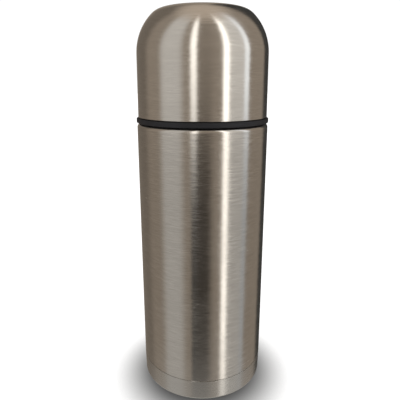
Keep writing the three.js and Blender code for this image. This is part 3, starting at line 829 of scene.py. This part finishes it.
def stem_nut():
    """A hexagon nut with its corners turned off."""
    foot, top = low("stem_nut")[2], high("stem_nut")[2]
    corner = 4.4
    across = corner * math.cos(math.pi / 6)

    def hexagon(r, z, angle):
        if r < 3.2:
            return 0.0
        flat = across / math.cos((angle + math.pi / 6) % (math.pi / 3) - math.pi / 6)
        chamfer = 0.45 * max(0.0, 1 - min(z - foot, top - z) / 0.35)
        return min(flat, corner - chamfer) - r

    bore = STEM_R + FIT
    rows = 12
    sides = [(corner, foot + (top - foot) * i / rows, 0) for i in range(rows + 1)]
    profile = outline([(bore, foot, 0.2), (3.4, foot, 0), *sides, (3.4, top, 0), (bore, top, 0.2)])
    return turned("fine_stem_nut", profile, 96, hexagon)


def helix(radius, foot, top, turns, dead_turns=0.9, steps=40):
    """Points of a compression spring whose end turns lie flat."""
    points = []
    total = turns + 2 * dead_turns
    for i in range(int(total * steps) + 1):
        turn = i / steps
        share = min(1.0, max(0.0, (turn - dead_turns) / turns))
        share = share * share * (3 - 2 * share) * 0.35 + share * 0.65
        angle = 2 * math.pi * turn
        height = foot + (top - foot) * share
        points.append((radius * math.cos(angle), radius * math.sin(angle), height))
    return points


def return_spring():
    lo, hi = low("return_spring"), high("return_spring")
    wire = 0.5
    return swept("fine_return_spring", helix(6.7, lo[2] + wire, hi[2] - wire, 3.6), wire, 12)


def release_spring():
    lo, hi = low("release_spring"), high("release_spring")
    wire = 0.28
    middle = (lo[2] + hi[2]) / 2
    points = helix(1.45, lo[0] + wire, hi[0] - wire, 3.0, 0.5, 24)
    return swept("fine_release_spring", [(z, x, middle + y) for x, y, z in points], wire, 8)


def release_tab():
    """Slider ring round the button with the key that reaches out through the grip."""
    lo, hi = low("release_tab"), high("release_tab")
    hole, rim = 13.4, 18
    ring_top = 175.2
    shift_x = 1.6
    ring = turned("fine_release_tab", outline([
        (hole, lo[2], 0.25), (rim, lo[2], 0.3), (rim, ring_top, 0.3), (hole, ring_top, 0.25),
    ]), ROUND_MID)
    ring.data.transform(Matrix.Translation((shift_x * MM, 0, 0)))
    key = slab("key", (17.3, -5, lo[2]), (hi[0], 5, hi[2]), 0.6)
    grips = []
    for z in (174.3, 175.2, 176.1):
        grips.append(slab("grip_cut", (hi[0] - 0.25, -3.8, z - 0.18), (hi[0] + 1, 3.8, z + 0.18), 0))
    cut(key, grips)
    modifier = ring.modifiers.new("join", "BOOLEAN")
    modifier.operation = "UNION"
    modifier.solver = "EXACT"
    modifier.object = key
    whole = bpy.data.meshes.new_from_object(ring.evaluated_get(bpy.context.evaluated_depsgraph_get()))
    ring.modifiers.clear()
    ring.data = whole
    whole.shade_smooth()
    whole.set_sharp_from_angle(angle=FINE_ANGLE)
    bpy.data.objects.remove(key)
    return ring


def gives_way(spring):
    """Gives the spring a mesh of its own."""
    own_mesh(spring)


PIECES = (
    outer_shell, inner_bottle, base_cap, vacuum_base, seal_plug, getter, getter_clip, copper_foil,
    cup_shell, cup_rim_ring, cup_liner,
    stopper_body, stopper_cover, valve_seat, stopper_seal, stem_seal, push_button, valve_stem, valve_disc,
    valve_seal, stem_nut, return_spring, release_tab, release_spring,
)
made = {make.__name__: stand_for(make(), make.__name__) for make in PIECES}
gives_way(made["return_spring"])
gives_way(made["release_spring"])


# ---------------------------------------------------------------- studio


PAPER_LIGHT = 1.05
NEUTRAL = (1.0, 0.97, 0.92)
WARM = (1.0, 0.85, 0.7)
COOL = (0.92, 0.96, 1.0)

# The plain studio that the steel mirrors: a warm wall with soft boxes, strip lights and dark flags in front
# of it. Each has its tint, then its strength high up and low down. A panel also has its direction in degrees
# round from the front (left is negative), half its width and the softness of its edges. Later ones stand in
# front.
WALL = (WARM, 0.35, 0.3)
PANELS = (
    (-135, 25, 10, WARM, 0.2, 0.2),  # dark flag, far left
    (-55, 20, 8, NEUTRAL, 0.7, 0.5),  # soft box, left
    (0, 15, 8, WARM, 0.3, 0.05),  # dark flag in front
    (60, 20, 8, NEUTRAL, 0.8, 0.5),  # soft box, right
    (-15, 5, 3, NEUTRAL, 2.0, 0.05),  # strip light that hangs high in front
    (40, 5, 3, NEUTRAL, 2.5, 2.0),  # strip light, right of the front
    (80, 5, 3, COOL, 1.5, 0.5),  # strip light, right
    (150, 20, 5, NEUTRAL, 0.05, 0.05),  # dark flag, far right
)
# Heights are sines of the angle above the horizon.
HIGH, LOW = 0.1, -0.3
CEILING = (WARM, 0.6)
CEILING_FROM, CEILING_FULL = 0.8, 1.0
NEAR_FLOOR = (NEUTRAL, 0.5)
NEAR_FLOOR_FROM, NEAR_FLOOR_FULL = -0.6, -0.75

# A contact shadow painted into the paper's colour and glow, round the flask's foot.
PAINTED_SHADOW_CORE, PAINTED_SHADOW_EDGE = 24, 57  # mm from the contact shadow's middle: where it is darkest, and its end
PAINTED_SHADOW_FORWARD = 8  # how far its middle lies in front of the flask
PAINTED_SHADOW_TONE = 0.08

EYE = (-1.28, -222.7, 165.3)  # the camera's place in mm
LENS = 37.63
LOOK_DOWN = 14.8  # degrees


def light(tint, strength):
    return tuple(strength * part for part in tint) + (1.0,)


def surroundings():
    """White paper behind and below for the camera, and the studio's panels for the steel to mirror."""
    world = bpy.data.worlds.new("studio")
    world.use_nodes = True
    bpy.context.scene.world = world
    graph = Graph(world.node_tree)
    way = graph.add("ShaderNodeTexCoord").outputs["Generated"]
    x, y, z = graph.add("ShaderNodeSeparateXYZ", {0: way}).outputs
    turn = graph.math("DEGREES", graph.math("ARCTAN2", x, graph.math("MULTIPLY", y, -1.0)))

    low = graph.smooth(z, HIGH, LOW)

    def falling(tint, high_strength, low_strength):
        """A panel's light, from its strength high up to its strength low down."""
        return graph.blend(low, light(tint, high_strength), light(tint, low_strength))

    room = falling(*WALL)
    for middle, half, soft, *lit in PANELS:
        away = graph.math("ABSOLUTE", graph.math("SUBTRACT", turn, middle))
        room = graph.blend(graph.smooth(away, half + soft, half - soft), room, falling(*lit))
    room = graph.blend(graph.smooth(z, CEILING_FROM, CEILING_FULL), room, light(*CEILING))
    room = graph.blend(graph.smooth(z, NEAR_FLOOR_FROM, NEAR_FLOOR_FULL), room, light(*NEAR_FLOOR))
    ray = graph.add("ShaderNodeLightPath")
    mirrored = graph.add("ShaderNodeBackground", {"Color": room, "Strength": 1.0})
    paper = graph.add("ShaderNodeBackground", {"Color": (1, 1, 1, 1), "Strength": PAPER_LIGHT})
    sides = {0: ray.outputs["Is Glossy Ray"], 1: paper.outputs[0], 2: mirrored.outputs[0]}
    shown = graph.add("ShaderNodeMixShader", sides)
    graph.add("ShaderNodeOutputWorld", {"Surface": shown.outputs[0]})


def floor():
    """A broad sheet of white paper, with a soft contact shadow painted into its colour and glow round the
    flask's foot, reaching a little to the front.
    """
    bm = bmesh.new()
    bmesh.ops.create_grid(bm, x_segments=8, y_segments=8, size=6.0)
    sheet = finished("paper_floor", bm)
    material, graph, paper = shader("paper", Roughness=0.9)
    place = graph.add("ShaderNodeTexCoord").outputs["Object"]
    x, y, _ = graph.add("ShaderNodeSeparateXYZ", {0: place}).outputs
    reach = graph.distance(x, graph.math("ADD", y, PAINTED_SHADOW_FORWARD * MM))
    # painted shadow: the paper's tone falls towards the flask's foot
    shadow = graph.smooth(reach, PAINTED_SHADOW_CORE * MM, PAINTED_SHADOW_EDGE * MM)
    shadow = graph.math("ADD", graph.math("MULTIPLY", shadow, 1 - PAINTED_SHADOW_TONE), PAINTED_SHADOW_TONE)
    fibre = graph.ranged(graph.noise(place, 400.0, 3.0), 0, 1, 0.98, 1.0)
    tone = graph.math("MULTIPLY", shadow, fibre)
    lit = graph.math("MULTIPLY", tone, 0.72)
    # the paper glows with half its tone so that it stays white, and the painted shadow darkens this glow too
    own = graph.math("MULTIPLY", tone, 0.5)
    colour = graph.add("ShaderNodeCombineColor", {0: lit, 1: lit, 2: lit}).outputs[0]
    graph.tree.links.new(colour, paper.inputs["Base Color"])
    paper.inputs["Emission Color"].default_value = (1, 1, 1, 1)
    graph.tree.links.new(own, paper.inputs["Emission Strength"])
    sheet.data.materials.append(material)
    sheet.visible_glossy = False


def camera():
    """Looks down at the flask from the height of its cup, as it was photographed."""
    data = bpy.data.cameras.new("camera")
    data.lens = LENS
    data.sensor_width = 36.0
    data.shift_y = -0.02
    data.clip_start = 0.01
    made = bpy.data.objects.new("camera", data)
    made.location = [value * MM for value in EYE]
    made.rotation_euler = (math.radians(90 - LOOK_DOWN), 0, 0)
    bpy.context.scene.collection.objects.link(made)
    bpy.context.scene.camera = made


surroundings()
floor()
camera()
bpy.context.scene.view_settings.view_transform = "Standard"
